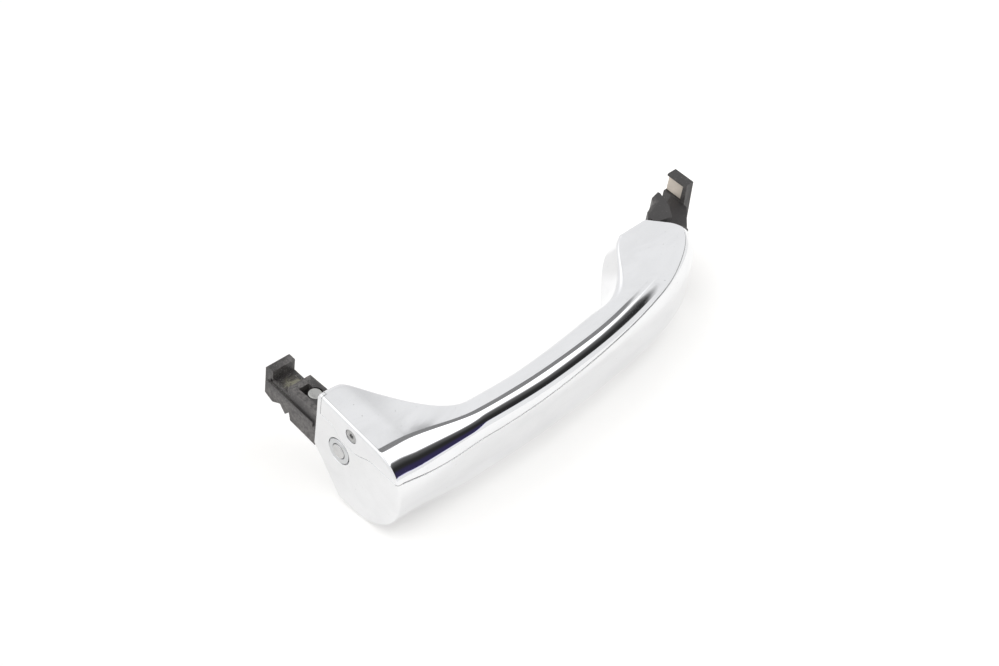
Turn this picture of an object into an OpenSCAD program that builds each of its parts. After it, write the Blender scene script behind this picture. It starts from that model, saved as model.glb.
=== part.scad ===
// Exterior pull handle of a car's rear door.
// Two chrome-plated covers over a plastic carrier, a pivot arm at the front,
// a hook arm at the rear, and a lock request button in the rear end face.
//
// Datum of the grip: x runs along the grip from the rear end face,
// p (the y axis) is 0 at the foot that faces the door and grows towards the door,
// v (the z axis) is 0 at the top edge of the rear end face.

/* [Grip] */
// Rear end face to the start of the rounded nose
nose_x = 146; // [145:0.5:147]
// Length of the rounded nose
nose_len = 36.5; // [36:0.5:37]
// Outer side of the grip, measured from the door side of the rear foot
reach = 46.2; // [45.6:0.2:46.8]
// Thickness of the bar, seen from above
bar_t = 15.6; // [15:0.1:17]
// Height of the rear end face
foot_h = 42; // [41:0.5:44]
// How much lower the bar is than the rear end face
waist = 6.2; // [5:0.2:7]
// Door side of the front foot
front_foot_p = -5.5; // [-6:0.1:-5]
// Wall of both covers
wall = 2; // [1.8:0.1:2.2]
// Width of the open seam between the covers
seam_gap = 0.16; // [0.1:0.02:0.3]

/* [Mounting] */
// Rear end face to the bearing face of the front hook
seat_x = 200.5; // [198:0.5:203]
// Width of the rear arm
arm_w = 10; // [9:0.5:10]
// Bearing face of the rear hook, measured from the door side of the foot
hook_p = 24.5; // [23:0.5:26]
// Thickness of the rear hook's lip
hook_t = 4; // [3:0.5:5]
// Thickness of the front hook plate
plate_t = 4; // [3.6:0.2:5]

/* [Lock button] */
// Diameter of the button's face
button_d = 6.1; // [5.6:0.1:6.2]
// Outer diameter of the ring around the button
bezel_d = 10.7; // [10.2:0.1:11]
// Travel of the button
travel = 0.8; // [0.5:0.1:0.9]
// Radial clearance of the sliding fits
slide_gap = 0.06; // [0.03:0.01:0.1]

/* [Cover screw] */
// Diameter of the cover screw's head
head_d = 5.3; // [5:0.1:5.4]
// Diameter of its shank
shank_d = 2.5; // [2.2:0.1:2.6]

/* [Hidden] */
$fn = 48;
// The origin of the whole handle is the middle of the front hook's bearing pad.
pad_p = 9.2;
pad_v = -17;
// thickness of the rear end plates
end_t = 2.4;
// centres of the cover screw and of the button on the end face, as [p, v]
screw_at = [-18.3, -6.2];
button_at = [-13.0, -18.8];
// the carrier inside the bar: ends, floor and roof
frame_x0 = 24;
frame_x1 = 130;
frame_v0 = -28;
frame_v1 = -9;
cavity_x0 = 38;
cavity_x1 = 120;
// the oblique cut that closes the nose: inner end, and its angle on the nose ellipse
cut_x = nose_x + 14;
cut_angle = 58.5;
front_screw_p = -33;
front_screw_v = [-15, -23];
rear_screw_at = [29.5, -36.5];
inlet_w = 14;
inlet_v = -9.8;

// ---------- small helpers ----------

function smooth(k) = let (c = min(1, max(0, k))) c * c * (3 - 2 * c);
function mix(a, b, k) = a + (b - a) * k;
// the lower of a and b, blended over a width k
function soft_min(a, b, k) = (a + b - sqrt((a - b) * (a - b) + k * k)) / 2;
function unit(q) = q / norm(q);
function flip(list) = [for (i = [len(list) - 1 : -1 : 0]) list[i]];

module at_datum() {
    translate([-seat_x, -pad_p, -pad_v]) children();
}

// turns a shape drawn in (p, v) and extruded upwards so that it is extruded along x
module along_x(x0, x1) {
    translate([x0, 0, 0]) rotate([90, 0, 90]) linear_extrude(x1 - x0) children();
}

// a round bar along x, at [p, v]
module rod_x(at, x0, x1, r) {
    translate([x0, at[0], at[1]]) rotate([0, 90, 0]) cylinder(r = r, h = x1 - x0);
}

module slab(v0, v1) {
    translate([0, 0, v0]) linear_extrude(v1 - v0) children();
}

module block(lo, hi) {
    translate(lo) cube(hi - lo);
}

// ---------- plan of the grip, as p over x ----------

function outer(x) = let (u = x - 58)
    -reach + (u < 0 ? 0.0006 * u * u : 0.00104 * u * u + 0.8e-8 * pow(u, 4));
function bar(x) = outer(x) + bar_t + smooth((x - 60) / 50);
// finger side where the bar runs out into the rear foot
function rear_side(x) = x < 42 ? bar(x) * (1 - pow((42 - x) / 31.5, 2)) : bar(x);
function front_blend(x) = pow(smooth((x - 112) / 31), 1.5);
function inner(x) = x > 100 ? mix(bar(x), front_foot_p, front_blend(x))
                            : soft_min(0.3, rear_side(x), 2.5);
// a plan strip of the bar, from in_d inside its finger side to out_d inside its outer side
function bar_strip(x0, x1, in_d, out_d, step = 4) =
    let (n = ceil((x1 - x0) / step))
    concat([for (i = [0 : n]) let (x = mix(x0, x1, i / n)) [x, bar(x) - in_d]],
           [for (i = [n : -1 : 0]) let (x = mix(x0, x1, i / n)) [x, outer(x) + out_d]]);

// ---------- cross-sections ----------

function top(x) = -2.4 * smooth((x - 12) / 60) + 0.4 * smooth((x - 110) / 60);
function bottom(x) = -foot_h + waist * smooth((x - 2) / 42) - 2 * smooth((x - 110) / 50);

// how far the top edge lies behind the widest line of the front foot's sloping flank
function lead(x) = x > 108 ? inner(x) - inner(x - 7 * smooth((x - 108) / 10)) : 0;

// corners as [w, v, radius], clockwise from the top edge on the finger side;
// w runs from the finger side (0) to the outer side (span)
function corners(span, x) =
    let (k = smooth((x - 6) / 34), kf = smooth((x - 118) / 26),
         zt = top(x), zb = bottom(x), foot = max(1 - k, kf))
    [[lead(x), zt, mix(2.2, 6, min(k, 1 - kf))],
     [span - 2 * smooth((x - 138) / 44), zt - mix(2.6, 0.5, k),
      mix(14.5, 8, k) + 4 * smooth((x - 100) / 80)],
     [span, zb + 0.3, mix(21, 9.5, k) + 0.5 * kf],
     [max(0, k - kf) + (1 - k) * 15 + kf * 11, zb, mix(mix(5, 3, foot), 1.5, kf)],
     [mix(0.3, 5, 1 - k) + kf * 8.5, mix(mix(zb + 9, -31, 1 - k), -25, kf), 2],
     [0, mix(mix(zb + 15, -26, 1 - k), -9, kf), 1.5]];

// the same corners moved inwards by t
function inset(cs, t) = [for (i = [0 : 5])
    let (a = cs[(i + 5) % 6], b = cs[i], c = cs[(i + 1) % 6],
         e = unit([b[0] - a[0], b[1] - a[1]]), f = unit([c[0] - b[0], c[1] - b[1]]),
         m = [e[1] + f[1], -e[0] - f[0]] / (1 + e * f))
    [b[0] + t * m[0], b[1] + t * m[1], max(b[2] - t, 0.25)]];

// the rounding of corner i, from fraction f0 to f1 of its arc, as n + 1 points
function fillet(cs, i, n, f0 = 0, f1 = 1) =
    let (a = cs[(i + 5) % 6], b = cs[i], c = cs[(i + 1) % 6], r = b[2],
         u = unit([a[0] - b[0], a[1] - b[1]]), w = unit([c[0] - b[0], c[1] - b[1]]),
         half = acos(u * w) / 2, d = r / tan(half), o = [b[0], b[1]],
         ctr = o + unit(u + w) * r / sin(half), p0 = o + u * d - ctr, p1 = o + w * d - ctr,
         t0 = atan2(p0[1], p0[0]), turn = (atan2(p1[1], p1[0]) - t0 + 540) % 360 - 180)
    [for (k = [0 : n]) let (t = t0 + turn * mix(f0, f1, k / n)) ctr + r * [cos(t), sin(t)]];

function on_edge(cs, i, j, d) =
    let (a = [cs[i][0], cs[i][1]], b = [cs[j][0], cs[j][1]]) a + unit(b - a) * d;

// where the seam lies on the outer top corner, as a fraction of its arc
function seam_f(x) = 0.69 + 0.22 * smooth(x / 35) - 0.4 * max(0, x - 45) / 100;
function seam_df(cs, e) = (seam_gap / 2 + e) / (cs[1][2] * 1.5);

// the inner cover's strip: finger side, top edge and roof, up to the seam;
// beside the rear arm it starts just under the top edge and leaves a mouth for the arm
mouth_x = 12;
function inner_strip(cs, x, e) =
    let (t = fillet(cs, 0, 5), z = t[0][1], mouth = x < mouth_x)
    concat(mouth ? [for (k = [4 : -1 : 1]) [t[0][0], z - 0.65 * k]]
                 : concat([on_edge(cs, 4, 5, seam_gap / 2 + e)], fillet(cs, 5, 2)),
           t, fillet(cs, 1, 4, 0, seam_f(x) - seam_df(cs, e)));

// the outer cover's strip: outer side and underside, from seam to seam
function outer_strip(cs, x, e) =
    concat(fillet(cs, 1, 3, seam_f(x) + seam_df(cs, e), 1), fillet(cs, 2, 6), fillet(cs, 3, 3),
           [on_edge(cs, 4, 3, seam_gap / 2 + e)]);

// stations along the grip, as [start of w in plan, end of w in plan, x, inset];
// the first one is drawn in a little, so that the covers start inside their end plates
function nose_end(a) = let (b = front_foot_p - outer(nose_x), s = outer(nose_x) - outer(nose_x - 1))
    [nose_x + nose_len * sin(a),
     front_foot_p - b * cos(a) + s * nose_len * sin(a) * pow(cos(a), 6)];
// outer end of the sections in plan, evened out where the bar runs into the nose
function rim_raw(u) = u < nose_x ? [u, outer(u)] : nose_end(cut_angle * (u - nose_x) / nose_len);
function rim(u) = let (h = 3 * smooth((u - 124) / 14) * (1 - smooth((u - 165) / 17.5)))
    (rim_raw(u - 2 * h) + 2 * rim_raw(u - h) + 3 * rim_raw(u) + 2 * rim_raw(u + h)
     + rim_raw(u + 2 * h)) / 9;
fan = 6;
bite = 0.25;
stations = concat(
    [[[end_t - bite, inner(end_t)], [end_t - bite, outer(end_t)], end_t, bite]],
    [for (x = concat([end_t + bite, 4.8, 7.2, 9.4, 11.6, 12.4], [for (i = [0 : 11]) 15 + 2.5 * i],
                     [for (i = [0 : 9]) 48.5 + 6.5 * i], [for (i = [0 : 10]) 113 + 3 * i],
                     [nose_x]))
        [[x, inner(x)], rim(x), x, 0]],
    [for (j = [1 : fan]) let (u = nose_x + nose_len * j / fan)
        [[nose_x + 14 * j / fan, front_foot_p], rim(u), u, 0]]);

function place(st, q) =
    let (d = unit(st[1] - st[0])) [st[0][0] + d[0] * q[0], st[0][1] + d[1] * q[0], q[1]];

// closed ring of a cover at one station: outside forwards, inside backwards
function ring(st, kind) =
    let (e = st[3], cs = inset(corners(norm(st[1] - st[0]), st[2]), e),
         ci = inset(cs, wall - 2 * e),
         a = kind == "inner" ? inner_strip(cs, st[2], e) : outer_strip(cs, st[2], e),
         b = kind == "inner" ? inner_strip(ci, st[2], e) : outer_strip(ci, st[2], e))
    [for (q = concat(a, flip(b))) place(st, q)];

// skin over a list of equal rings, with strips of quads over the two end rings
module skin(rings) {
    n = len(rings[0]);
    m = len(rings);
    h = n / 2;
    sides = [for (i = [0 : m - 2]) for (j = [0 : n - 1]) let (k = (j + 1) % n)
             each [[i * n + j, (i + 1) * n + k, i * n + k],
                   [i * n + j, (i + 1) * n + j, (i + 1) * n + k]]];
    first = [for (j = [0 : h - 2]) [j, j + 1, n - 2 - j, n - 1 - j]];
    last = [for (q = first) [for (i = flip(q)) i + (m - 1) * n]];
    polyhedron(points = [for (r = rings) each r], faces = concat(sides, first, last));
}

module cover(kind) {
    skin([for (st = stations) ring(st, kind)]);
}

// ---------- rear end plates ----------

function whole_section(cs) = [for (i = [0 : 5])
    each cs[i][2] > 1.6 ? fillet(cs, i, i == 1 || i == 2 ? 8 : 3) : [[cs[i][0], cs[i][1]]]];
module end_outline() {
    cs = corners(inner(end_t) - outer(end_t), end_t);
    polygon([for (q = whole_section(cs)) [inner(end_t) - q[0], q[1]]]);
}

// the S-shaped seam across the end face
rim_w = 2.3;
function seam_v(p) = -8.7 - 4.1 * smooth((-p - 8.2) / 6.5) + 3.1 * smooth((-p - 20) / 10);
module above_seam(grow) {
    polygon(concat([[-rim_w + grow, 5]],
                   [for (i = [0 : 24]) let (p = -rim_w + grow - i * 2) [p, seam_v(p) - grow]],
                   [[-52, 5]]));
}

// ---------- covers ----------

module outer_shell() {
    color("gainsboro") at_datum() {
        difference() {
            along_x(0, end_t) difference() {
                end_outline();
                above_seam(seam_gap / 2);
            }
            rod_x(button_at, -1, end_t + 1, bezel_d / 2 + 0.06);
            // the rim at the door side stays clear of the inner cover
            block([end_t - 1.5 * bite, -rim_w - 1, -9], [end_t + 1, 1, 1]);
        }
        cover("outer");
    }
}

module inner_shell() {
    color("whitesmoke") at_datum() {
        difference() {
            along_x(0, end_t) intersection() {
                end_outline();
                above_seam(-seam_gap / 2);
            }
            rod_x(screw_at, -1, 1.4, head_d / 2 + 0.1);
            rod_x(screw_at, -1, end_t + 1, shank_d / 2 + 0.15);
        }
        cover("inner");
    }
}

// ---------- carrier ----------

module core_frame() {
    color("dimgray") at_datum() difference() {
        slab(frame_v0, frame_v1) polygon(bar_strip(frame_x0, frame_x1, 2.8, 3.2));
        slab(frame_v0 + 2, frame_v1 - 2) polygon(bar_strip(cavity_x0, cavity_x1, 4.8, -1));
        // screw hole from below, wire slot in the roof, screw holes at the front
        translate([rear_screw_at[0], rear_screw_at[1], frame_v0 - 1]) cylinder(d = 2.3, h = 9);
        block([cavity_x1 - 11, outer(cavity_x1) + 5, frame_v1 - 3],
              [cavity_x1 - 0.5, bar(cavity_x1) - 5, frame_v1 + 1]);
        for (v = front_screw_v)
            rod_x([front_screw_p, v], cavity_x1 - 1, frame_x1 + 1, 1.25);
    }
}

// ---------- rear arm ----------

arm_x0 = 1;
arm_x1 = arm_x0 + arm_w;
floor_v = -15.7;

module rear_arm() {
    lip_p = hook_p + hook_t;
    color("#262628") at_datum() {
        difference() {
            union() {
                // hook with its toothed underside
                along_x(arm_x0, arm_x1) polygon([
                    [0.3, -10.8], [16, -11.8], [16, floor_v], [hook_p, floor_v],
                    [hook_p, -11], [lip_p - 0.8, -11], [lip_p, -12],
                    [lip_p, -25], [hook_p - 0.3, -26.5], [20, -24], [17.1, -26.9],
                    [15, -24.3], [14.1, -27.7], [0.3, -28.4]]);
                // rail along the rear side
                block([arm_x0 - 0.7, 1.5, -19.5], [arm_x0 + 1, lip_p - 1.6, -17]);
                // plug that closes the mouth of the foot
                along_x(end_t + 0.4, arm_x1 + 0.1) polygon([
                    [0.31, -5.8], [0.31, -26], [-4.6, -30.3], [-5.6, -29], [-5, -5.8]]);
            }
            // sunk floor behind a thin rim, pocket, and the seat of the pin
            block([arm_x0 + 0.9, 16.2, -16.3], [arm_x1 + 1, hook_p, floor_v + 1]);
            block([3.3, 9, -20], [7.7, 13, -5]);
            translate([6.4, 7.8, -14]) cylinder(r = 3, h = 10);
            translate([6.4, 7.8, -22]) cylinder(r = 2.63, h = 10);
            // relief under the foot of the lip
            block([arm_x0 - 1, hook_p - 0.01, floor_v - 1], [arm_x0 + 0.5, hook_p + 1, floor_v + 0.5]);
        }
        // gusset from the plug to the tongue
        along_x(end_t + 0.8, arm_x1 - 0.2) polygon([
            [-4.9, -25.6], [-4.9, -29], [-6.6, -28.95], [-8.8, -30.9], [-14, -30.9], [-12, -28.1]]);
        // tongue under the carrier, with the screw hole
        difference() {
            slab(-30.9, frame_v0 - 0.1) polygon([
                [end_t + 0.8, -9], [9, -9], [12, -14.5], [16, -18.5], [20, -23], [26, -29.5],
                [34, -33.5], [34, -40], [14, -37.5], [end_t + 0.8, -36]]);
            translate([rear_screw_at[0], rear_screw_at[1], -32]) cylinder(d = 2.7, h = 5);
        }
        // lug behind the end plate that holds the threaded insert
        difference() {
            block([end_t + 0.3, -22.5, -9.9], [10, -4.9, -3.7]);
            block([end_t, -6, -5.7], [11, -4, 0]);
            rod_x(screw_at, end_t, 11, 1.95);
        }
    }
}

module rear_arm_pin() {
    color("silver") at_datum() {
        translate([6.4, 7.8, -21.9]) cylinder(r = 2.6, h = 10.3);
        translate([6.4, 7.8, -11.6]) cylinder(r1 = 2.6, r2 = 2.3, h = 0.3);
    }
}

module rear_arm_screw() {
    color("gray") at_datum() translate([rear_screw_at[0], rear_screw_at[1], -32.5]) difference() {
        union() {
            cylinder(d = 4.6, h = 1.6);
            cylinder(d = 2.2, h = 11.4);
        }
        translate([0, 0, -0.1]) star_recess(1.1);
    }
}

// six-lobed drive
module star_recess(depth, r = 0.85) {
    linear_extrude(depth) {
        circle(r = r);
        for (a = [0 : 60 : 300]) rotate(a) translate([r, 0]) circle(r = r * 0.32);
    }
}

// ---------- front arm ----------

// moves a shape from the cut's own axes (w along the cut, n out of it) into plan
cut_end = nose_end(cut_angle);
cut_dir = atan2(cut_end[1] - front_foot_p, cut_end[0] - cut_x);
cut_w = norm(cut_end - [cut_x, front_foot_p]);
module on_cut() {
    translate([cut_x, front_foot_p, 0]) rotate(cut_dir) children();
}

// how far the flange stands out of the covers' cut end
proud = 0.3;

module front_arm() {
    plate_x0 = seat_x - 1.3;
    plate_x1 = plate_x0 + plate_t;
    ci = inset(corners(cut_w, nose_x + nose_len), wall + 0.25);
    color("#2a2a2c") at_datum() difference() {
        union() {
            // flange that fills the cut end of the covers
            on_cut() translate([0, proud, 0]) rotate([90, 0, 0]) linear_extrude(2.6 + proud)
                polygon(whole_section(ci));
            // plug inside the nose
            slab(-19, -13.2) polygon([[frame_x1 + 1.2, -28], [frame_x1 + 1.2, -36],
                [150, -34], [cut_x, -29.5], [cut_x + 11.5, -18.5], [cut_x + 5.7, -13.2],
                [cut_x - 8, -15.5], [cut_x - 18, -21]]);
            slab(-26, -18.5) polygon([[frame_x1 + 1.2, -28], [frame_x1 + 1.2, -36],
                [150, -34], [158, -31], [160, -27], [150, -22], [142, -22]]);
            // base block in front of the cut
            slab(-31, -12) on_cut() polygon([[3.4, 0.06], [3.4, 8.4], [4.8, 9.8], [19.4, 9.8],
                                             [21, 8.2], [21, 0.06]]);
            // fin towards the door
            slab(-24, -11) polygon([[173, -4.5], [171.6, -0.6], [173.6, 1.8], [179, 3.9],
                [181.6, 6.6], [186.3, 7.6], [186.6, 6.6], [185.4, 3.2], [184.2, -0.5], [180, -6]]);
            // web to the hook plate
            slab(-30, -21.2) polygon([[168, -7], [172, 1], [183, 3.4], [plate_x0 + 0.2, 9.5],
                [plate_x0 + 0.2, 0.8], [189, -8.8], [182.6, -14.2], [174, -16]]);
            // hook plate
            along_x(plate_x0, plate_x1) polygon([[3.1, -11], [13, -11], [13.6, -12],
                                                 [13.6, -33], [12.6, -34], [1.4, -34]]);
        }
        // step under the fin, seat of the pad, inlet, screw holes
        slab(-18.5, -16.3) polygon([[172, -4.6], [180, -6], [184, -1.6], [181.5, -0.4], [178, -2]]);
        block([seat_x - 2, 4.8, -21.05], [seat_x + 1.5, 15, -12.95]);
        on_cut() translate([inlet_w, -5, inlet_v]) rotate([-90, 0, 0]) cylinder(r = 2.4, h = 8);
        on_cut() translate([inlet_w, proud, inlet_v]) rotate([-90, 0, 0]) cylinder(r = 3.4, h = 9.8);
        for (v = front_screw_v)
            rod_x([front_screw_p, v], frame_x1, frame_x1 + 12, 1.05);
    }
}

module hook_pad() {
    color("tan") at_datum()
        block([seat_x, 4.9, pad_v - 3.95], [seat_x + 1.48, 13.5, pad_v + 3.95]);
}

module front_arm_screws() {
    color("gray") at_datum() for (v = front_screw_v) difference() {
        union() {
            rod_x([front_screw_p, v], cavity_x1 - 1.5, cavity_x1, 2.2);
            rod_x([front_screw_p, v], cavity_x1 - 0.1, frame_x1 + 11, 1);
        }
        translate([cavity_x1 - 1.6, front_screw_p, v]) rotate([0, 90, 0]) star_recess(1);
    }
}

module inlet_grommet() {
    color("black") at_datum() on_cut() translate([inlet_w, proud + 0.4, inlet_v]) rotate([90, 0, 0])
        rotate_extrude() polygon([[1.5, 0], [3.1, 0], [3.1, 0.35], [2.35, 0.35], [2.35, 3.35],
                                  [2.8, 3.35], [2.8, 4.1], [1.5, 4.1]]);
}

// ---------- cover screw ----------

module cover_screw() {
    color("darkgray") at_datum() difference() {
        union() {
            rod_x(screw_at, 0.35, 1.38, head_d / 2);
            rod_x(screw_at, 1.3, 9, shank_d / 2);
        }
        translate([0.3, screw_at[0], screw_at[1]]) rotate([0, 90, 0]) star_recess(0.8);
    }
}

module screw_insert() {
    color("gold") at_datum() difference() {
        union() {
            rod_x(screw_at, end_t + 0.4, 9.8, 1.75);
            for (x = [end_t + 0.4, 5.4, 8]) rod_x(screw_at, x, x + 1.8, 1.93);
        }
        rod_x(screw_at, 0, 11, shank_d / 2 + 0.04);
    }
}

// ---------- lock button ----------

guide_r = button_d / 2 + slide_gap;
stem_r = 1.5;

module button_bezel() {
    color("lightgray") at_datum() difference() {
        rod_x(button_at, -0.15, 9, bezel_d / 2);
        rod_x(button_at, -1, 6.2, guide_r);
        rod_x(button_at, 6, 7.4, stem_r + slide_gap);
        rod_x(button_at, 7.4, 10, 3.2);
    }
}

module lock_button() {
    color("silver") at_datum() difference() {
        union() {
            rod_x(button_at, -0.3, 3.2, button_d / 2);
            rod_x(button_at, 3, 9.2, stem_r);
        }
        // seal groove, ring groove, slight dish in the face
        ring_x(button_at, 1.2, 2.1, button_d / 2 - 0.7, button_d);
        ring_x(button_at, 7.65, 8.15, 1.15, 3);
        rod_x(button_at, -0.4, -0.2, 2.1);
    }
}

module ring_x(at, x0, x1, r0, r1) {
    difference() {
        rod_x(at, x0, x1, r1);
        rod_x(at, x0 - 1, x1 + 1, r0);
    }
}

module button_seal() {
    color("black") at_datum() ring_x(button_at, 1.22, 2.08, button_d / 2 - 0.68, guide_r - 0.02);
}

module button_spring() {
    turns = 3;
    steps = 12;
    wire = 0.22;
    color("gray") at_datum() translate([3.5, button_at[0], button_at[1]]) rotate([0, 90, 0])
        tube([for (i = [0 : turns * steps]) let (a = i * 360 / steps)
              [2.15 * cos(a), 2.15 * sin(a), 2.4 * i / (turns * steps)]], wire, 6);
}

module retaining_ring() {
    color("slategray") at_datum() difference() {
        ring_x(button_at, 7.68, 8.12, 1.18, 2.7);
        block([7, button_at[0] - 0.9, button_at[1] - 4], [9, button_at[0] + 0.9, button_at[1]]);
    }
}

module switch_body() {
    p = button_at[0];
    v = button_at[1];
    color("#3a3a3e") at_datum() difference() {
        union() {
            block([10.2, p - 2.6, v - 3.2], [14.6, p + 2.6, v + 3.2]);
            // clips that reach back to the ring's housing
            for (side = [-1, 1])
                block([9.02, p - 2, v + side * 3.6 - 0.6], [13, p + 2, v + side * 3.6 + 0.6]);
        }
        rod_x(button_at, 9.8, 12.6 + travel, 1 + slide_gap);
    }
}

module switch_plunger() {
    color("ivory") at_datum() rod_x(button_at, 9.26, 12.5, 1);
}

// ---------- electronics ----------

function mid(x) = (bar(x) + outer(x)) / 2 - 0.8;
function slope(x) = atan2(mid(x + 1) - mid(x - 1), 2);
tray_x = 58;
coil_x = 100;
module at_bar(x, v) {
    translate([x, mid(x), v]) rotate(slope(x)) children();
}

module electronics_tray() {
    color("#4a4a50") at_datum() at_bar(tray_x, -18.5) difference() {
        block([-17, -2.8, -6.5], [17, 2.8, 6.5]);
        block([-16, -5, -5.5], [16, 1.8, 5.5]);
    }
}

module sensor_board() {
    color("darkgreen") at_datum() at_bar(tray_x, -18.5)
        block([-15.8, 0.2, -5.3], [15.8, 1.2, 5.3]);
}

module board_chips() {
    color("#202022") at_datum() at_bar(tray_x, -18.5) {
        block([-12, -1, -3], [-6, 0.19, 3]);
        block([0, -0.8, -2], [4, 0.19, 2]);
        for (i = [0 : 3]) block([7 + 2 * i, -0.5, -1], [8 + 2 * i, 0.19, 1]);
    }
}

module antenna_bobbin() {
    color("#303034") at_datum() at_bar(coil_x, -18.5) difference() {
        union() {
            for (x = [-16, 14.5]) block([x, -3, -6.2], [x + 1.5, 3, 6.2]);
            block([-15, -2.2, -4.6], [15, 2.2, 4.6]);
        }
        block([-17, -1.62, -4.02], [17, 1.62, 4.02]);
    }
}

module antenna_core() {
    color("#55504c") at_datum() at_bar(coil_x, -18.5) block([-15.8, -1.6, -4], [15.8, 1.6, 4]);
}

module antenna_coil() {
    color("peru") at_datum() at_bar(coil_x, -18.5) difference() {
        block([-14.3, -2.8, -5.4], [14.3, 2.8, 5.4]);
        block([-15, -2.22, -4.62], [15, 2.22, 4.62]);
    }
}

module sensor_electrode() {
    strip = concat([for (i = [0 : 15]) let (x = 50 + 4 * i) [x, bar(x) - 2.4]],
                   [for (i = [15 : -1 : 0]) let (x = 50 + 4 * i) [x, bar(x) - 2.65]]);
    color("orange") at_datum() slab(-23, -13) polygon(strip);
}

// a round tube along a route
function tangent(path, i) = unit(path[min(i + 1, len(path) - 1)] - path[max(i - 1, 0)]);
module tube(path, r, sides) {
    m = len(path);
    rings = [for (i = [0 : m - 1]) let (t = tangent(path, i), s = unit(cross(t, [0, 0, 1])),
             u = cross(s, t)) [for (j = [0 : sides - 1]) let (a = -360 * j / sides)
             path[i] + r * (cos(a) * s + sin(a) * u)]];
    walls = [for (i = [0 : m - 2]) for (j = [0 : sides - 1]) let (k = (j + 1) % sides)
             each [[i * sides + j, (i + 1) * sides + k, i * sides + k],
                   [i * sides + j, (i + 1) * sides + j, (i + 1) * sides + k]]];
    cap = [for (j = [0 : sides - 1]) j];
    polyhedron(points = [for (q = rings) each q],
               faces = concat(walls, [cap], [flip([for (j = cap) j + (m - 1) * sides])]));
}

// smooth curve through the points of a route
function spline(q, n) = [for (i = [0 : len(q) - 2]) for (k = [0 : n - 1])
    let (t = k / n, a = q[max(i - 1, 0)], b = q[i], c = q[i + 1], d = q[min(i + 2, len(q) - 1)])
    (2 * b + (c - a) * t + (2 * a - 5 * b + 4 * c - d) * t * t
     + (3 * b - a - 3 * c + d) * t * t * t) / 2];

wire_route = [[76, -37, -13], [86, -38.2, -11.6], [97, -38.4, -11.6], [108.5, -36.6, -11.5],
              [112.8, -35.2, -9.8], [117, -33.8, -7.6], [124, -32, -7], [140, -29, -7], [154, -24, -7.5], [163, -19.5, -9.2],
              [167.4, -18.1, -9.8]];
module inner_wires() {
    color("firebrick") at_datum() for (side = [-1, 1])
        tube(spline([for (q = wire_route) q + [0, 0.6 * side, 0]], 3), 0.45, 8);
}

outer_shell();
inner_shell();
core_frame();
rear_arm();
rear_arm_pin();
rear_arm_screw();
front_arm();
front_arm_screws();
hook_pad();
inlet_grommet();
cover_screw();
screw_insert();
button_bezel();
lock_button();
button_seal();
button_spring();
retaining_ring();
switch_body();
switch_plunger();
electronics_tray();
sensor_board();
board_chips();
antenna_bobbin();
antenna_core();
antenna_coil();
sensor_electrode();
inner_wires();
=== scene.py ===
"""Looks of the rear door's pull handle: chrome covers, plastic arms, lock button, studio."""
from math import acos, atan2, cos, pi, radians, sin, sqrt, tan

import bmesh
import bpy
from mathutils import Matrix, Vector
from mathutils.geometry import delaunay_2d_cdt


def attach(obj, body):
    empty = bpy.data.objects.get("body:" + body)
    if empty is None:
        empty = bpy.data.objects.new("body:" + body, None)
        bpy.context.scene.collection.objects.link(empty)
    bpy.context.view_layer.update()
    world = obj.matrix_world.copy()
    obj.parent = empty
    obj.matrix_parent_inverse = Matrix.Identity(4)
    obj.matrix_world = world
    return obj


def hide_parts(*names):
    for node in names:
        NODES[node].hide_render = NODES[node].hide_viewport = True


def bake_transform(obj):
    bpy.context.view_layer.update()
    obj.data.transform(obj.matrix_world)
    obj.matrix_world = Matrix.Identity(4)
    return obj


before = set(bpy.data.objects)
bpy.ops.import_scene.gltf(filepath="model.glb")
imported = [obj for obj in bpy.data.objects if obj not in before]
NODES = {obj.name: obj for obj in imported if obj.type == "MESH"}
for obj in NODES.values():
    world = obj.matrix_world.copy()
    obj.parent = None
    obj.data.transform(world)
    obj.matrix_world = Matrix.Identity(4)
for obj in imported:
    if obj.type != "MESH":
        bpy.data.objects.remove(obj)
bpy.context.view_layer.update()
scene = bpy.context.scene

# ---------- the grip's sections, in millimetres, as in the CAD model ----------

SEAT_X, PAD_P, PAD_V = 200.5, 9.2, -17.0
WALL, GAP, END_T, RIM_W = 2.0, 0.16, 2.4, 2.3
NOSE_X, NOSE_LEN, FOOT_P, CUT_ANGLE = 146.0, 36.5, -5.5, radians(58.5)
SCREW_AT, BUTTON_AT = (-18.3, -6.2), (-13.0, -18.8)
MOUTH_X = 12.0
EDGE_R = 1.15      # rounding of the rear end face's edge
SEAM_R = 0.24      # rounding of the covers' edges along the seams
PLATE_R = 0.14     # the same on the end face
TURNS = (0.0, 0.5, 1.05, pi / 2)    # steps of a seam edge's rounding
FOOT_RUN = 14.0    # how far the inner ends of the nose's sections run along x
TIP_RUN = 34.0     # length of the nose, for the rounding at its tip


def metres(x, p, v):
    """A point given in the datum's millimetres, in the frame."""
    return ((x - SEAT_X) / 1000, (p - PAD_P) / 1000, (v - PAD_V) / 1000)


def smooth(k):
    c = min(1.0, max(0.0, k))
    return c * c * (3 - 2 * c)


def mix(a, b, k):
    return a + (b - a) * k


def outer(x):
    u = x - 58
    return -46.2 + (0.0006 * u * u if u < 0 else 0.00104 * u * u + 0.8e-8 * u ** 4)


def bar(x):
    return outer(x) + 15.6 + smooth((x - 60) / 50)


def inner(x):
    if x > 100:
        return mix(bar(x), FOOT_P, smooth((x - 112) / 31) ** 1.5)
    side = bar(x) * (1 - ((42 - x) / 31.5) ** 2) if x < 42 else bar(x)
    return (0.3 + side - sqrt((0.3 - side) ** 2 + 6.25)) / 2


def top(x):
    return -2.4 * smooth((x - 12) / 60) + 0.4 * smooth((x - 110) / 60)


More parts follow.
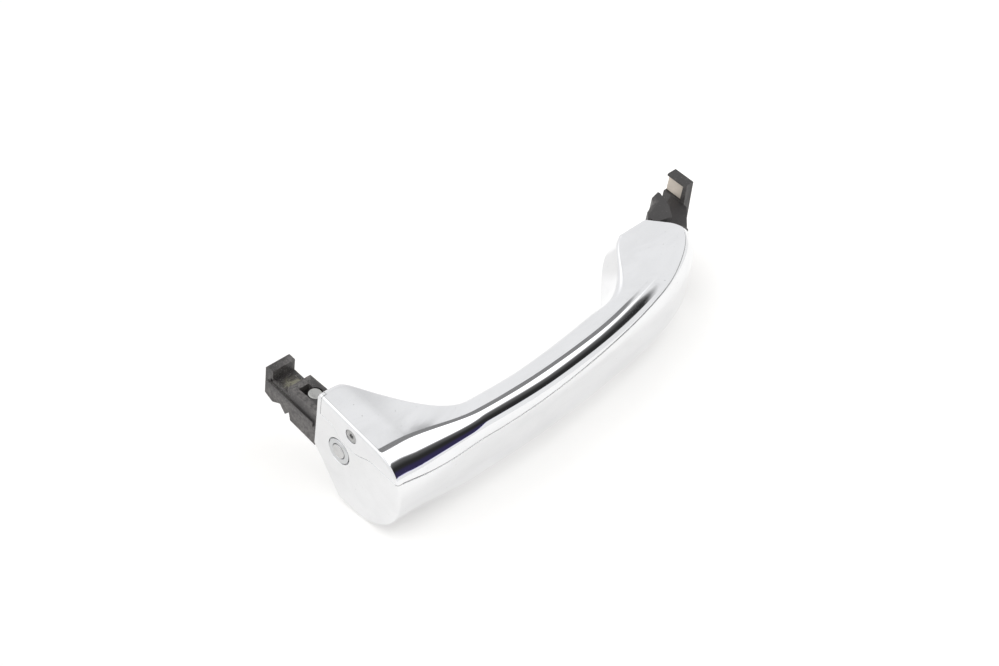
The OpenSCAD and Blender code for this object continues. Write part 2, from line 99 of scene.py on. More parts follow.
def bottom(x):
    return -42 + 6.2 * smooth((x - 2) / 42) - 2 * smooth((x - 110) / 50)


def corners(span, x):
    k, kf = smooth((x - 6) / 34), smooth((x - 118) / 26)
    zt, zb, foot = top(x), bottom(x), max(1 - k, kf)
    lead = inner(x) - inner(x - 7 * smooth((x - 108) / 10)) if x > 108 else 0
    return [
        (lead, zt, mix(2.2, 6, min(k, 1 - kf))),
        (span - 2 * smooth((x - 138) / 44), zt - mix(2.6, 0.5, k),
         mix(14.5, 8, k) + 4 * smooth((x - 100) / 80)),
        (span, zb + 0.3, mix(21, 9.5, k) + 0.5 * kf),
        (max(0, k - kf) + (1 - k) * 15 + kf * 11, zb, mix(mix(5, 3, foot), 1.5, kf)),
        (mix(0.3, 5, 1 - k) + kf * 8.5, mix(mix(zb + 9, -31, 1 - k), -25, kf), 2),
        (0, mix(mix(zb + 15, -26, 1 - k), -9, kf), 1.5),
    ]


def inset(cs, t):
    out = []
    for i, (w, v, r) in enumerate(cs):
        a, c = cs[i - 1], cs[(i + 1) % 6]
        e = Vector((w - a[0], v - a[1])).normalized()
        f = Vector((c[0] - w, c[1] - v)).normalized()
        m = Vector((e.y + f.y, -e.x - f.x)) / (1 + e.dot(f))
        out.append((w + t * m.x, v + t * m.y, max(r - t, 0.25)))
    return out


def arc(cs, i):
    """Centre, radius, start angle and turn of the rounding of corner i."""
    b = Vector(cs[i][:2])
    u = (Vector(cs[i - 1][:2]) - b).normalized()
    w = (Vector(cs[(i + 1) % 6][:2]) - b).normalized()
    r = cs[i][2]
    half = acos(max(-1, min(1, u.dot(w)))) / 2
    ctr = b + (u + w).normalized() * r / sin(half)
    p0, p1 = b + u * r / tan(half) - ctr, b + w * r / tan(half) - ctr
    t0 = atan2(p0.y, p0.x)
    turn = (atan2(p1.y, p1.x) - t0 + 3 * pi) % (2 * pi) - pi
    return ctr, r, t0, turn


def fillet(cs, i, n, f0=0.0, f1=1.0):
    ctr, r, t0, turn = arc(cs, i)
    ts = [t0 + turn * mix(f0, f1, k / n) for k in range(n + 1)]
    return [(ctr.x + r * cos(t), ctr.y + r * sin(t)) for t in ts]


def on_edge(cs, i, j, d):
    a, b = Vector(cs[i][:2]), Vector(cs[j][:2])
    q = a + (b - a).normalized() * d
    return (q.x, q.y)


def seam_v(p):
    return -8.7 - 4.1 * smooth((-p - 8.2) / 6.5) + 3.1 * smooth((-p - 20) / 10)


def s_crossing(cs, x, e):
    """Fraction of the outer top rounding where the end face's seam meets it, e above the seam."""
    lo, hi = 0.0, 1.0
    ctr, r, t0, turn = arc(cs, 1)
    for _ in range(40):
        f = (lo + hi) / 2
        t = t0 + turn * f
        w, v = ctr.x + r * cos(t), ctr.y + r * sin(t)
        if v - seam_v(inner(x) - w) - e > 0:
            lo = f
        else:
            hi = f
    return (lo + hi) / 2


END_CS = corners(inner(END_T) - outer(END_T), END_T)
SEAM_SHIFT = s_crossing(END_CS, END_T, 0) - (0.69 + 0.22 * smooth(END_T / 35))


def seam_f(x):
    base = 0.69 + 0.22 * smooth(x / 35) - 0.4 * max(0, x - 45) / 100
    return base + SEAM_SHIFT * (1 - smooth((x - END_T) / 12))


def strip(cs, x, kind, e):
    """The outside line of one cover's section, kept e away from the middle of its seams."""
    ctr, r, t0, turn = arc(cs, 1)
    df = e / (r * abs(turn))
    if kind == "inner":
        t = fillet(cs, 0, 10)
        if x < MOUTH_X:
            head = [(t[0][0], t[0][1] - 0.65 * k + e - GAP / 2) for k in (4, 3, 2, 1)]
        else:
            head = [on_edge(cs, 4, 5, e)] + fillet(cs, 5, 2)
        return head + t + fillet(cs, 1, 18, 0, seam_f(x) - df)
    return (fillet(cs, 1, 9, seam_f(x) + df, 1) + fillet(cs, 2, 22) + fillet(cs, 3, 6)
            + [on_edge(cs, 4, 3, e)])


LIP = [(SEAM_R * (1 - cos(a)), GAP / 2 + SEAM_R * (1 - sin(a))) for a in TURNS]


def section(span, x, kind, back=0.0):
    """Closed line of a cover's section with its rounded seam edges, drawn in by back."""
    cs = inset(corners(span, x), back)
    rim = [strip(inset(cs, t), x, kind, e) for t, e in LIP[1:]]
    return (strip(cs, x, kind, LIP[0][1]) + [q[-1] for q in rim]
            + strip(inset(cs, WALL - 2 * back), x, kind, GAP / 2)[::-1] + [q[0] for q in rim[::-1]])


def nose_end(a):
    b, slope = FOOT_P - outer(NOSE_X), outer(NOSE_X) - outer(NOSE_X - 1)
    return Vector((NOSE_X + NOSE_LEN * sin(a),
                   FOOT_P - b * cos(a) + slope * NOSE_LEN * sin(a) * cos(a) ** 6))


def rim(u):
    """Outer end of the sections in plan, evened out where the bar runs into the nose."""
    h = 3 * smooth((u - 124) / 14) * (1 - smooth((u - 165) / 17.5))
    sum_, total = Vector((0, 0)), 0
    for k, weight in ((-2, 1), (-1, 2), (0, 3), (1, 2), (2, 1)):
        q = u + k * h
        far = CUT_ANGLE * (q - NOSE_X) / NOSE_LEN
        sum_ += weight * (Vector((q, outer(q))) if q < NOSE_X else nose_end(far))
        total += weight
    return sum_ / total


def stations():
    """(start of w in plan, end of w in plan, x of the section, inset) along the grip."""
    xs = [END_T, 3.0, 3.7] + [4.5 + 1.06 * i for i in range(7)] + [MOUTH_X - 0.03, MOUTH_X + 0.03]
    first, n = 12.6, 126
    xs += [first + (NOSE_X - first) * i / n for i in range(n + 1)]
    out = [(Vector((x, inner(x))), rim(x), x, 0.0) for x in xs]
    ts = [(j / 40, 0.0) for j in range(1, 40)]
    ts += [(1 - SEAM_R * (1 - sin(a)) / TIP_RUN, SEAM_R * (1 - cos(a))) for a in TURNS]
    for t, back in ts:
        u = NOSE_X + NOSE_LEN * t
        out.append((Vector((NOSE_X + FOOT_RUN * t, FOOT_P)), rim(u), u, back))
    return out


class Shape:
    """Collects points in millimetres (x, p, v) and faces."""

    def __init__(self):
        self.co, self.faces = [], []

    def ring(self, pts):
        i = len(self.co)
        self.co += pts
        return list(range(i, i + len(pts)))

    def bridge(self, a, b):
        n = len(a)
        self.faces += [(a[j], a[(j + 1) % n], b[(j + 1) % n], b[j]) for j in range(n)]

    def flat(self, loop, holes=()):
        """Triangles over a ring in a plane of constant x, around its holes."""
        loops = [loop, *holes]
        ids = [i for r in loops for i in r]
        pts = [Vector(self.co[i][1:]) for i in ids]
        edges, n = [], 0
        for r in loops:
            edges += [(n + j, n + (j + 1) % len(r)) for j in range(len(r))]
            n += len(r)
        co, _, tris, orig, _, _ = delaunay_2d_cdt(pts, edges, [], 0, 1e-7)
        rings = [[Vector(self.co[i][1:]) for i in r] for r in loops]
        for t in tris:
            c = sum((co[i] for i in t), Vector((0, 0))) / len(t)
            if inside(c, rings[0]) and not any(inside(c, h) for h in rings[1:]):
                self.faces.append(tuple(ids[orig[i][0]] for i in t))

    def build(self, name, body, sharp=38):
        me = bpy.data.meshes.new(name)
        me.from_pydata([metres(*q) for q in self.co], [], self.faces)
        bm = bmesh.new()
        bm.from_mesh(me)
        bmesh.ops.remove_doubles(bm, verts=bm.verts, dist=1e-7)
        bmesh.ops.recalc_face_normals(bm, faces=bm.faces)
        bm.to_mesh(me)
        bm.free()
        ob = bpy.data.objects.new(name, me)
        scene.collection.objects.link(ob)
        soften(ob, sharp)
        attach(ob, body)
        return ob


def inside(q, poly):
    hit = False
    for i, b in enumerate(poly):
        a = poly[i - 1]
        if (a.y > q.y) != (b.y > q.y) and q.x < (b.x - a.x) * (q.y - a.y) / (b.y - a.y) + a.x:
            hit = not hit
    return hit


def soften(ob, sharp):
    ob.data.polygons.foreach_set("use_smooth", [True] * len(ob.data.polygons))
    ob.data.set_sharp_from_angle(angle=radians(sharp))
    mod = ob.modifiers.new("Normals", "WEIGHTED_NORMAL")
    mod.keep_sharp = True
    mod.weight = 70


# ---------- chrome covers ----------

def loft(shape, kind):
    rings = []
    for a, b, x, back in stations():
        d = (b - a).normalized()
        rings.append(shape.ring([(a.x + d.x * w, a.y + d.y * w, v)
                                 for w, v in section((b - a).length, x, kind, back)]))
    for r, s in zip(rings, rings[1:]):
        shape.bridge(r, s)
    shape.faces += [tuple(rings[0]), tuple(rings[-1])]


def plate_line(kind, x, t, e):
    """Closed line of an end plate at depth x, its outline drawn in by t, e away from the seam."""
    cs = inset(corners(inner(x) - outer(x), x), t)
    side = 1 if kind == "inner" else -1
    f = s_crossing(cs, x, side * e)
    p_rim = -RIM_W - side * e
    w_rim = inner(x) - p_rim
    (w0, v0, _), (w1, v1, _) = cs[0], cs[1]
    rim_top = (w_rim, mix(v0, v1, (w_rim - w0) / (w1 - w0)))
    if kind == "inner":
        line = [rim_top] + fillet(cs, 1, 24, 0, f)
    else:
        line = (fillet(cs, 1, 12, f, 1) + fillet(cs, 2, 24) + fillet(cs, 3, 6) + fillet(cs, 4, 2)
                + fillet(cs, 5, 2) + fillet(cs, 0, 10) + [rim_top])
    line = [(inner(x) - w, v) for w, v in line]
    p_b = line[-1][0] if kind == "inner" else line[0][0]
    curve = [(p, seam_v(p) + side * e) for p in (mix(p_b, p_rim, i / 60) for i in range(1, 61))]
    if kind == "outer":
        curve = [(p, seam_v(p) - e) for p in (mix(p_rim, p_b, i / 60) for i in range(60))]
    return line + curve


def end_plate(shape, kind, hole_at, hole_r, depth, edge_r):
    xs = [EDGE_R * (1 - cos(a * pi / 20)) for a in range(11)] + [1.7, END_T]
    rings = []
    for x in xs:
        t = EDGE_R - sqrt(max(0, EDGE_R ** 2 - max(0, EDGE_R - x) ** 2))
        e = GAP / 2 + PLATE_R - sqrt(max(0, PLATE_R ** 2 - max(0, PLATE_R - x) ** 2))
        line = plate_line(kind, x, t, e)
        back = END_T - 0.2 if x == END_T and kind == "outer" else x
        rings.append(shape.ring([(back if p > -RIM_W + 0.5 else x, p, v) for p, v in line]))
    bore = []
    for a in range(7):
        x = edge_r * (1 - cos(a * pi / 12))
        bore.append((x, hole_r + edge_r * (1 - sin(a * pi / 12))))
    bore.append((depth, hole_r))
    holes = []
    for x, r in bore:
        holes.append(shape.ring([(x, hole_at[0] + r * cos(i * pi / 36),
                                  hole_at[1] + r * sin(i * pi / 36)) for i in range(72)]))
    for r, s in list(zip(rings, rings[1:])) + list(zip(holes, holes[1:])):
        shape.bridge(r, s)
    shape.flat(rings[0], [holes[0]])
    if depth < END_T:
        shape.flat(holes[-1])
        shape.flat(rings[-1])
    else:
        shape.flat(rings[-1], [holes[-1]])


def cover(kind, name, node, hole):
    shape = Shape()
    end_plate(shape, kind, *hole)
    loft(shape, kind)
    ob = shape.build(name, "handle")
    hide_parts(node)
    return ob


outer_cover = cover("outer", "outer_cover", "outer_shell", (BUTTON_AT, 5.41, END_T, 0.42))
inner_cover = cover("inner", "inner_cover", "inner_shell", (SCREW_AT, 2.75, 1.4, 0.2))

# ---------- turned parts of the lock button ----------


def lathe(name, node, at, profile, body, turns=96, sharp=40):
    """Closed turned part; the profile is a closed list of (x, radius)."""
    shape = Shape()
    rings = [shape.ring([(x, at[0] + r * cos(2 * pi * i / turns),
                          at[1] + r * sin(2 * pi * i / turns)) for i in range(turns)])
             for x, r in profile]
    for r, s in zip(rings, rings[1:]):
        shape.bridge(r, s)
    if profile[0][1] < 0.3:
        shape.faces += [tuple(rings[0]), tuple(rings[-1])]
    else:
        shape.bridge(rings[-1], rings[0])
    ob = shape.build(name, body, sharp)
    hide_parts(node)
    return ob


def bend(x, r, radius, a0, a1, n=5):
    """Points of a rounding in a profile, centred on (x, r)."""
    return [(x + radius * cos(a), r + radius * sin(a))
            for a in (radians(mix(a0, a1, k / n)) for k in range(n + 1))]


bezel = lathe("button_ring", "button_bezel", BUTTON_AT,
              bend(0.3, 3.56, 0.45, 270, 180) + [(-0.15, 3.8), (-0.15, 4.4)]
              + bend(0.35, 4.6, 0.5, 180, 90)
              + [(1.4, 5.1), (1.4, 5.35), (9.0, 5.35), (9.0, 3.2), (7.4, 3.2), (7.4, 1.56),
                 (6.2, 1.56), (6.2, 3.11)],
              "handle")
button = lathe("button_face", "lock_button", BUTTON_AT,
               [(-0.2, 0.02), (-0.2, 1.9), (-0.23, 2.1), (-0.29, 2.3), (-0.3, 2.5)]
               + bend(0.1, 2.5, 0.4, 180, 90)
               + [(1.0, 2.9), (1.0, 3.05), (1.2, 3.05), (1.2, 2.35), (2.1, 2.35), (2.1, 3.05),
                  (3.2, 3.05), (3.2, 1.5), (7.65, 1.5), (7.65, 1.15), (8.15, 1.15), (8.15, 1.5),
                  (9.15, 1.5), (9.2, 1.42), (9.2, 0.02)],
               "lock_button")

# ---------- moulded parts, from their CAD solids with worn edges ----------


def moulded(node, name, width, segments=2, body="handle", angle=28, sharp=50):
    me = NODES[node].data.copy()
    me.materials.clear()
    bm = bmesh.new()
    bm.from_mesh(me)
    bmesh.ops.remove_doubles(bm, verts=bm.verts, dist=2e-6)
    bmesh.ops.dissolve_limit(bm, angle_limit=radians(0.6), verts=bm.verts, edges=bm.edges)
    bm.to_mesh(me)
    bm.free()
    ob = bpy.data.objects.new(name, me)
    scene.collection.objects.link(ob)
    mod = ob.modifiers.new("Edges", "BEVEL")
    mod.width = width / 1000
    mod.segments = segments
    mod.limit_method = "ANGLE"
    mod.angle_limit = radians(angle)
    mod.use_clamp_overlap = True
    mod.harden_normals = True
    soften(ob, sharp)
    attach(ob, body)
    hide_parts(node)
    return ob


rear_arm = moulded("rear_arm", "rear_arm_moulding", 0.35, 3)
front_arm = moulded("front_arm", "front_arm_moulding", 0.4, 3)
pad = moulded("hook_pad", "hook_pad_moulding", 0.3, 3)
pin = moulded("rear_arm_pin", "arm_pin_turned", 0.12, 2)
screw = moulded("cover_screw", "cover_screw_turned", 0.08, 2)
grommet = moulded("inlet_grommet", "inlet_grommet_moulding", 0.15, 2)

# the return spring, which the button shortens
spring = bpy.data.objects.new("button_spring_coil", NODES["button_spring"].data.copy())
scene.collection.objects.link(spring)
soften(spring, 50)
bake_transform(spring)
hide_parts("button_spring")

# ---------- materials ----------


class Mat:
    """A node material; every helper returns an output socket."""

    def __init__(self, name):
        self.m = bpy.data.materials.new(name)
        self.m.use_nodes = True
        self.t = self.m.node_tree
        self.bsdf = next(n for n in self.t.nodes if n.type == "BSDF_PRINCIPLED")
        self.co = self.t.nodes.new("ShaderNodeTexCoord").outputs["Object"]

    def put(self, socket, value):
        if hasattr(value, "is_linked"):
            self.t.links.new(value, socket)
        elif hasattr(value, "__len__") and len(value) == 3 and len(socket.default_value) == 4:
            socket.default_value = (*value, 1)
        else:
            socket.default_value = value

    def set(self, **kw):
        for k, v in kw.items():
            self.put(self.bsdf.inputs[k.replace("_", " ")], v)
        return self

    def noise(self, scale, detail=4, rough=0.55, stretch=None, warp=0):
        n = self.t.nodes.new("ShaderNodeTexNoise")
        n.inputs["Scale"].default_value = scale
        n.inputs["Detail"].default_value = detail
        n.inputs["Roughness"].default_value = rough
        n.inputs["Distortion"].default_value = warp
        self.put(n.inputs["Vector"], self.scaled(stretch) if stretch else self.co)
        return n.outputs["Fac"]

    def scaled(self, s):
        n = self.t.nodes.new("ShaderNodeVectorMath")
        n.operation = "MULTIPLY"
        self.put(n.inputs[0], self.co)
        n.inputs[1].default_value = s
        return n.outputs[0]

    def ramp(self, fac, lo, hi, a=0.0, b=1.0):
        n = self.t.nodes.new("ShaderNodeMapRange")
        n.interpolation_type = "SMOOTHSTEP"
        self.put(n.inputs["Value"], fac)
        for k, v in (("From Min", lo), ("From Max", hi), ("To Min", a), ("To Max", b)):
            n.inputs[k].default_value = v
        return n.outputs["Result"]

    def math(self, op, a, b=0.5):
        n = self.t.nodes.new("ShaderNodeMath")
        n.operation = op
        self.put(n.inputs[0], a)
        self.put(n.inputs[1], b)
        return n.outputs[0]

    def blend(self, fac, a, b):
        n = self.t.nodes.new("ShaderNodeMix")
        n.data_type = "RGBA"
        self.put(n.inputs[0], fac)
        self.put(n.inputs[6], a)
        self.put(n.inputs[7], b)
        return n.outputs[2]

    def ball(self, centre, radius, fade, scale=(1, 1, 1)):
        """1 inside an ellipsoid around a point given in the datum's millimetres, 0 outside."""
        n = self.t.nodes.new("ShaderNodeVectorMath")
        n.operation = "SUBTRACT"
        self.put(n.inputs[0], self.co)
        n.inputs[1].default_value = metres(*centre)
        m = self.t.nodes.new("ShaderNodeVectorMath")
        m.operation = "MULTIPLY"
        self.put(m.inputs[0], n.outputs[0])
        m.inputs[1].default_value = scale
        d = self.t.nodes.new("ShaderNodeVectorMath")
        d.operation = "LENGTH"
        self.put(d.inputs[0], m.outputs[0])
        return self.ramp(d.outputs["Value"], (radius - fade) / 1000, (radius + fade) / 1000, 1, 0)

    def edges(self, lo=0.53, hi=0.62):
        g = self.t.nodes.new("ShaderNodeNewGeometry")
        return self.ramp(g.outputs["Pointiness"], lo, hi)

    def bump(self, height, strength, distance):
        n = self.t.nodes.new("ShaderNodeBump")
        n.inputs["Strength"].default_value = strength
        n.inputs["Distance"].default_value = distance
        self.put(n.inputs["Height"], height)
        self.put(self.bsdf.inputs["Normal"], n.outputs["Normal"])
        return self


def chrome(name, tint, seed):
    m = Mat(name)
    wipe = m.noise(38 + seed, 5, 0.6, (1, 2.2, 2.2), 0.6)
    spots = m.ramp(m.noise(900 + 13 * seed, 2), 0.70, 0.78)
    base = m.blend(m.ramp(wipe, 0.35, 0.7), tint, tuple(c * 0.955 for c in tint))
    base = m.blend(m.math("MULTIPLY", spots, 0.35), base, (0.45, 0.45, 0.44))
    rough = m.math("ADD", m.ramp(wipe, 0.42, 0.72, 0.035, 0.085), m.math("MULTIPLY", spots, 0.15))
    m.set(Base_Color=base, Metallic=1.0, Roughness=rough)
    return m.bump(m.noise(260, 2, 0.4), 0.006, 0.0002).m


def plastic(name, colour, rough=0.55, grain=0.25, worn=(0.20, 0.19, 0.18)):
    m = Mat(name)
    cloud = m.noise(120, 5, 0.6)
    fine = m.noise(5200, 2, 0.5)
    base = m.blend(m.ramp(cloud, 0.3, 0.7), colour, tuple(c * 1.35 for c in colour))
    base = m.blend(m.math("MULTIPLY", m.edges(), 0.5), base, worn)
    m.set(Base_Color=base, Roughness=m.ramp(cloud, 0.3, 0.75, rough - 0.08, rough + 0.1))
    return m.bump(fine, grain, 0.0001).m


def arm_plastic():
    m = Mat("arm_plastic")
    cloud = m.noise(90, 6, 0.65, None, 0.4)
    fine = m.noise(4200, 3, 0.6)
    base = m.blend(m.ramp(cloud, 0.32, 0.72), (0.026, 0.0235, 0.024), (0.037, 0.034, 0.034))
    # rubbed edges
    rub = m.math("MULTIPLY", m.edges(0.57, 0.70),
                 m.ramp(m.noise(700, 4, 0.6), 0.35, 0.65, 0.1, 0.6))
    base = m.blend(rub, base, (0.17, 0.16, 0.155))
    # dry grease and dust on the sunk floor of the hook
    floor = m.ball((6.5, 19, -16.0), 3.4, 1.8, (1, 1, 2.6))
    stain = m.math("MULTIPLY", floor, m.ramp(m.noise(300, 4, 0.6, None, 0.8), 0.38, 0.56))
    base = m.blend(m.math("MULTIPLY", stain, 0.8), base, (0.26, 0.25, 0.175))
    dust = m.ramp(m.noise(2300, 3, 0.7), 0.58, 0.66)
    near = m.ball((5, 19, -15), 8, 3)
    base = m.blend(m.math("MULTIPLY", m.math("MULTIPLY", dust, near), 0.55), base,
                   (0.5, 0.49, 0.46))
    specks = m.ramp(m.noise(1900, 2, 0.6), 0.66, 0.72)
    base = m.blend(m.math("MULTIPLY", specks, 0.3), base, (0.32, 0.31, 0.30))
    m.set(Base_Color=base, Roughness=m.ramp(cloud, 0.3, 0.75, 0.46, 0.54), Specular_IOR_Level=0.6)
    return m.bump(fine, 0.16, 0.0001).m


def metal(name, colour, rough, brushed=None, grime=0.25):
    m = Mat(name)
    marks = m.noise(1400, 4, 0.6, brushed) if brushed else m.noise(500, 4, 0.6)
    dirt = m.ramp(m.noise(300, 4, 0.6), 0.5, 0.72)
    base = m.blend(m.math("MULTIPLY", dirt, grime), colour, tuple(c * 0.45 for c in colour))
    m.set(Base_Color=base, Metallic=1.0,
          Roughness=m.ramp(marks, 0.3, 0.7, rough * 0.7, rough * 1.4))
    return m.bump(marks, 0.08, 0.00005).m


def laminate():
    m = Mat("board_laminate")
    weave = m.t.nodes.new("ShaderNodeTexBrick")
    weave.inputs["Scale"].default_value = 900
    weave.inputs["Mortar Size"].default_value = 0.04
    m.put(weave.inputs["Vector"], m.co)
    weave.inputs["Color1"].default_value = (0.01, 0.10, 0.035, 1)
    weave.inputs["Color2"].default_value = (0.012, 0.12, 0.045, 1)
    weave.inputs["Mortar"].default_value = (0.20, 0.13, 0.05, 1)
    m.set(Base_Color=weave.outputs["Color"], Roughness=0.35)
    return m.bump(weave.outputs["Fac"], 0.1, 0.0001).m


CHROME_OUTER = (0.805, 0.81, 0.82)
CHROME_INNER = (0.80, 0.805, 0.82)
MATERIALS = {
    "chrome_outer": chrome("chrome_outer", CHROME_OUTER, 3),
    "chrome_inner": chrome("chrome_inner", CHROME_INNER, 0),
    "arm_plastic": arm_plastic(),
    "carrier_plastic": plastic("carrier_plastic", (0.05, 0.05, 0.052), 0.6),
    "switch_plastic": plastic("switch_plastic", (0.025, 0.025, 0.028), 0.45),
    "plunger_plastic": plastic("plunger_plastic", (0.62, 0.60, 0.52), 0.4),
    "pad_plastic": plastic("pad_plastic", (0.50, 0.44, 0.37), 0.55, 0.15, (0.62, 0.56, 0.50)),
    "seal_rubber": plastic("seal_rubber", (0.012, 0.012, 0.012), 0.7, 0.1, (0.05, 0.05, 0.05)),
    "chip_plastic": plastic("chip_plastic", (0.014, 0.014, 0.015), 0.5),
    "ferrite": plastic("ferrite", (0.05, 0.046, 0.044), 0.65),
    "wire_cover": plastic("wire_cover", (0.30, 0.02, 0.015), 0.4, 0.05, (0.35, 0.05, 0.04)),
    "board_laminate": laminate(),
    "pin_steel": metal("pin_steel", (0.44, 0.44, 0.43), 0.38, (1, 1, 0.06)),
    "screw_steel": metal("screw_steel", (0.50, 0.50, 0.50), 0.30),
    "cover_screw_steel": metal("cover_screw_steel", (0.42, 0.42, 0.42), 0.28, None, 0.4),
    "insert_brass": metal("insert_brass", (0.70, 0.50, 0.20), 0.3),
    "bezel_metal": metal("bezel_metal", (0.60, 0.61, 0.62), 0.12, None, 0.15),
    "button_metal": metal("button_metal", (0.60, 0.60, 0.60), 0.20, None, 0.15),
    "spring_steel": metal("spring_steel", (0.52, 0.52, 0.53), 0.25),
    "coil_copper": metal("coil_copper", (0.72, 0.36, 0.18), 0.3, (0.1, 1, 1)),
    "electrode_copper": metal("electrode_copper", (0.74, 0.40, 0.22), 0.35),
}


def dress(ob, slot):
    ob.data.materials.clear()
    ob.data.materials.append(MATERIALS[slot])


PIECES = {
    "chrome_outer": [outer_cover], "chrome_inner": [inner_cover], "bezel_metal": [bezel],
    "button_metal": [button], "arm_plastic": [rear_arm, front_arm], "pad_plastic": [pad],
    "pin_steel": [pin], "spring_steel": [spring], "cover_screw_steel": [screw],
    "seal_rubber": [grommet],
}
for slot, obs in PIECES.items():
    for ob in obs:
        dress(ob, slot)
CAD_SLOTS = {
    "core_frame": "carrier_plastic", "rear_arm_screw": "screw_steel",
    "front_arm_screws": "screw_steel", "screw_insert": "insert_brass",
    "button_seal": "seal_rubber", "retaining_ring": "spring_steel",
    "switch_body": "switch_plastic", "switch_plunger": "plunger_plastic",
    "electronics_tray": "carrier_plastic", "sensor_board": "board_laminate",
    "board_chips": "chip_plastic", "antenna_bobbin": "switch_plastic",
    "antenna_core": "ferrite", "antenna_coil": "coil_copper",
    "sensor_electrode": "electrode_copper", "inner_wires": "wire_cover",
}
for node, slot in CAD_SLOTS.items():
    dress(NODES[node], slot)

# ---------- studio ----------

YAW, LEAN, LOOK = radians(44.3), radians(10), radians(38.5)
RIGHT = Vector((cos(YAW), -sin(YAW) * cos(LEAN), sin(YAW) * sin(LEAN)))
AWAY = Vector((sin(YAW), cos(YAW) * cos(LEAN), -cos(YAW) * sin(LEAN)))
UP = Vector((0, sin(LEAN), cos(LEAN)))
AIM = Vector(metres(106.96, 12.02, -47.37))
LENS_MM, SENSOR_MM, DISTANCE = 64.86, 36, 0.7143
FLOOR_HALF, FLOOR_GAP, PAPER_GLOW = 2.5, 0.0002, 0.27

low = min(v.co.dot(UP) for n in NODES.values() for v in n.data.vertices)
basis = Matrix((RIGHT, AWAY, UP)).transposed().to_4x4()

floor_mesh = bpy.data.meshes.new("floor")
square = [(FLOOR_HALF * x, FLOOR_HALF * y, 0) for x, y in ((-1, -1), (1, -1), (1, 1), (-1, 1))]
floor_mesh.from_pydata(square, [], [(0, 1, 2, 3)])
floor = bpy.data.objects.new("floor", floor_mesh)
scene.collection.objects.link(floor)
floor.matrix_world = Matrix.Translation(UP * (low - FLOOR_GAP - AIM.dot(UP)) + AIM) @ basis
paper = Mat("paper")
side = paper.t.nodes.new("ShaderNodeSeparateXYZ")
paper.put(side.inputs[0], paper.co)
# The paper glows a little so that it reads evenly bright. As painted shade, the glow drops to 0.4
# more than 0.13 m left (-X) of the aim, which darkens the floor that the rear end face reflects.
glow_with_painted_shade = paper.blend(paper.ramp(side.outputs["X"], -0.13, -0.02), (0.4, 0.4, 0.4), (1, 1, 1))
paper.set(Base_Color=paper.blend(paper.noise(60, 3), (0.82, 0.813, 0.80), (0.84, 0.833, 0.82)),
          Roughness=0.9, Specular_IOR_Level=0.1, Emission_Color=glow_with_painted_shade, Emission_Strength=PAPER_GLOW)
paper.bump(paper.noise(900, 3), 0.02, 0.0001)
floor_mesh.materials.append(paper.m)

world = bpy.data.worlds.new("studio")
scene.world = world
world.use_nodes = True
wt = world.node_tree
bg = next(n for n in wt.nodes if n.type == "BACKGROUND")
direction = wt.nodes.new("ShaderNodeTexCoord").outputs["Generated"]


def wnode(kind, **kw):
    n = wt.nodes.new(kind)
    for k, v in kw.items():
        setattr(n, k, v)
    return n


def wmath(op, a, b=0.0):
    n = wnode("ShaderNodeMath", operation=op)
    for s, v in zip(n.inputs, (a, b)):
        if hasattr(v, "is_linked"):
            wt.links.new(v, s)
        else:
            s.default_value = v
    return n.outputs[0]


def along(axis):
    n = wnode("ShaderNodeVectorMath", operation="DOT_PRODUCT")
    wt.links.new(direction, n.inputs[0])
    n.inputs[1].default_value = axis
    return n.outputs["Value"]


def step(value, lo, hi):
    n = wnode("ShaderNodeMapRange", interpolation_type="SMOOTHSTEP")
    wt.links.new(value, n.inputs["Value"])
    n.inputs["From Min"].default_value = lo
    n.inputs["From Max"].default_value = hi
    return n.outputs["Result"]


def wadd(a, b):
    return wmath("ADD", a, b)


def wmul(a, b):
    return wmath("MULTIPLY", a, b)


def inv(a):
    return wmath("SUBTRACT", 1.0, a)


def band(value, lo, hi, soft):
    return wmul(step(value, lo - soft, lo + soft), inv(step(value, hi - soft, hi + soft)))


high = wmul(wmath("ARCSINE", along(UP)), 180 / pi)                    # elevation, degrees
turn = wmul(wmath("ARCTAN2", along(AWAY), along(RIGHT)), 180 / pi)    # 0 right, 90 away

# A pale room of strength 1, brightest above the grip's outer side, with one dark wall to the
# right. A pair of angles is where a part fades in or out, in degrees of high or turn.
WALL_FOOT, WALL_FOOT_RISE, WALL_FOOT_TURN, WALL_FOOT_SOFT = 7.0, 11.0, (-25, -8), 1.0
WALL_TOP, WALL_START, WALL_EDGE, WALL_CURVE, WALL_SOFT = (41.5, 46.5), (-65, -59), 7.3, 0.0113, 1.5
WALL_LEVEL, WALL_RISE, WALL_RISE_HIGH = 0.028, 0.14, (28, 46)
GAP_FOOT, GAP_START, GAP_SOFT = (49.0, 50.6), (36.0, 39.0), (-0.7, 0.3)
GAP_HIGH, GAP_EDGE, GAP_SLOPE, GAP_CURVE = 51.0, 64.6, 0.1, 0.0018
GAP_LEVEL, GAP_WAVE, GAP_RATE = 0.28, 0.10, 0.8
KEY_FOOT, KEY_TURN, KEY_SOFT, KEY_LEVEL = (44.0, 47.0), (-75, 37.5), 1.5, 0.8
FAR_START, FAR_END, FAR_FOOT, FAR_DIM = (71.0, 79.0), (95.0, 120.0), (50.0, 58.0), 0.2
BEHIND_FOOT, BEHIND_TURN, BEHIND_LEVEL = (15.0, 40.0), (100.0, 130.0), 0.45
VIOLET_HIGH, VIOLET_TURN, VIOLET_SOFT, VIOLET = (5, 21), (-40, -10), 5.0, (1.4, 1.2, 3.2, 1)

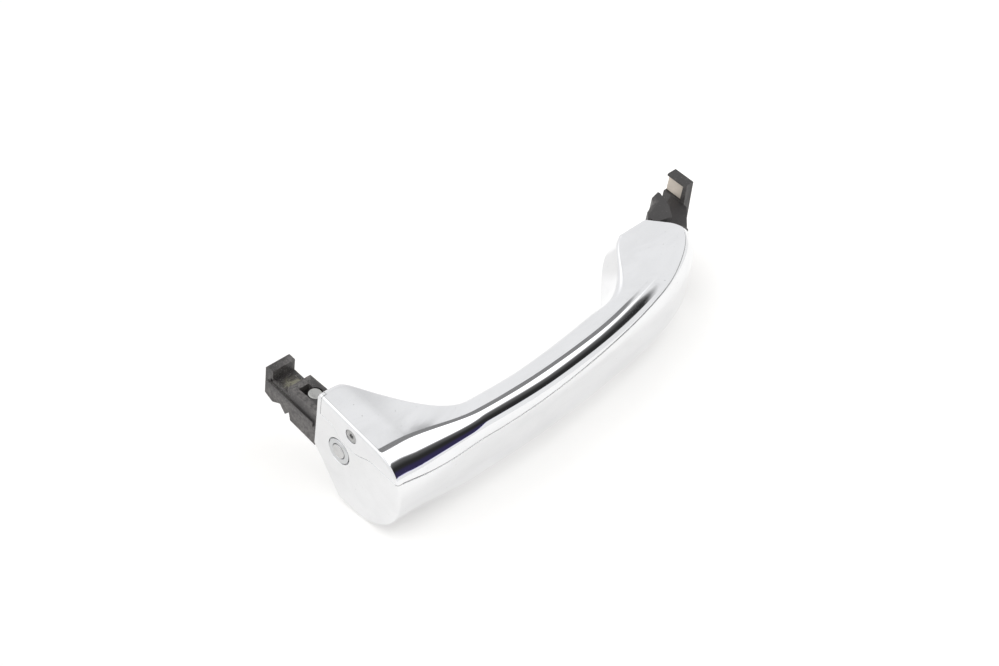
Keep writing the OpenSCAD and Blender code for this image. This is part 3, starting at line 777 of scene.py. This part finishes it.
wall_foot = wadd(wmul(step(turn, *WALL_FOOT_TURN), WALL_FOOT_RISE), WALL_FOOT)
over_foot = step(wmath("SUBTRACT", high, wall_foot), -WALL_FOOT_SOFT, WALL_FOOT_SOFT)
wall_edge = wadd(wmul(wmul(high, high), WALL_CURVE), WALL_EDGE)
dark = wmul(wmul(wmul(over_foot, inv(step(high, *WALL_TOP))), step(turn, *WALL_START)),
            inv(step(wmath("SUBTRACT", turn, wall_edge), -WALL_SOFT, WALL_SOFT)))
dark_level = wadd(wmul(step(high, *WALL_RISE_HIGH), WALL_RISE), WALL_LEVEL)
above = wmath("SUBTRACT", high, GAP_HIGH)
edge = wadd(wadd(wmul(above, GAP_SLOPE), GAP_EDGE),
            wmul(wmath("POWER", wmath("MAXIMUM", above, 0.0), 3.0), GAP_CURVE))
gap = wmul(wmul(step(high, *GAP_FOOT), step(turn, *GAP_START)),
           inv(step(wmath("SUBTRACT", turn, edge), *GAP_SOFT)))
ripple = wmath("SINE", wmul(turn, GAP_RATE))
gap_level = wadd(wmul(ripple, GAP_WAVE), GAP_LEVEL)
key = wmul(step(high, *KEY_FOOT), band(turn, *KEY_TURN, KEY_SOFT))
far_side = wmul(wmul(step(turn, *FAR_START), inv(step(turn, *FAR_END))), step(high, *FAR_FOOT))
room = wmul(wmul(inv(dark), inv(gap)), inv(wmul(far_side, FAR_DIM)))
behind = wmul(step(high, *BEHIND_FOOT),
              wadd(step(turn, *BEHIND_TURN), step(turn, *(-t for t in BEHIND_TURN))))
light = wadd(wadd(wmul(room, wadd(wmul(behind, BEHIND_LEVEL), 1.0)),
                  wmul(wmul(key, inv(gap)), KEY_LEVEL)),
             wadd(wmul(dark, dark_level), wmul(gap, gap_level)))
violet = wmul(wmul(band(high, *VIOLET_HIGH, VIOLET_SOFT), band(turn, *VIOLET_TURN, VIOLET_SOFT)),
              dark)
tint = wnode("ShaderNodeMix", data_type="RGBA")
wt.links.new(violet, tint.inputs[0])
tint.inputs[6].default_value = (1, 1, 1, 1)
tint.inputs[7].default_value = VIOLET
wt.links.new(tint.outputs[2], bg.inputs["Color"])
wt.links.new(light, bg.inputs["Strength"])

cam_data = bpy.data.cameras.new("camera")
cam_data.lens = LENS_MM
cam_data.sensor_width = SENSOR_MM
cam_data.clip_start = 0.01
cam = bpy.data.objects.new("camera", cam_data)
scene.collection.objects.link(cam)
back_dir = AWAY * -cos(LOOK) + UP * sin(LOOK)
cam_up = UP * cos(LOOK) + AWAY * sin(LOOK)
cam_mat = Matrix((RIGHT, cam_up, back_dir)).transposed().to_4x4()
cam.matrix_world = Matrix.Translation(AIM + back_dir * DISTANCE) @ cam_mat
scene.camera = cam
scene.view_settings.view_transform = "Standard"
scene.view_settings.look = "None"
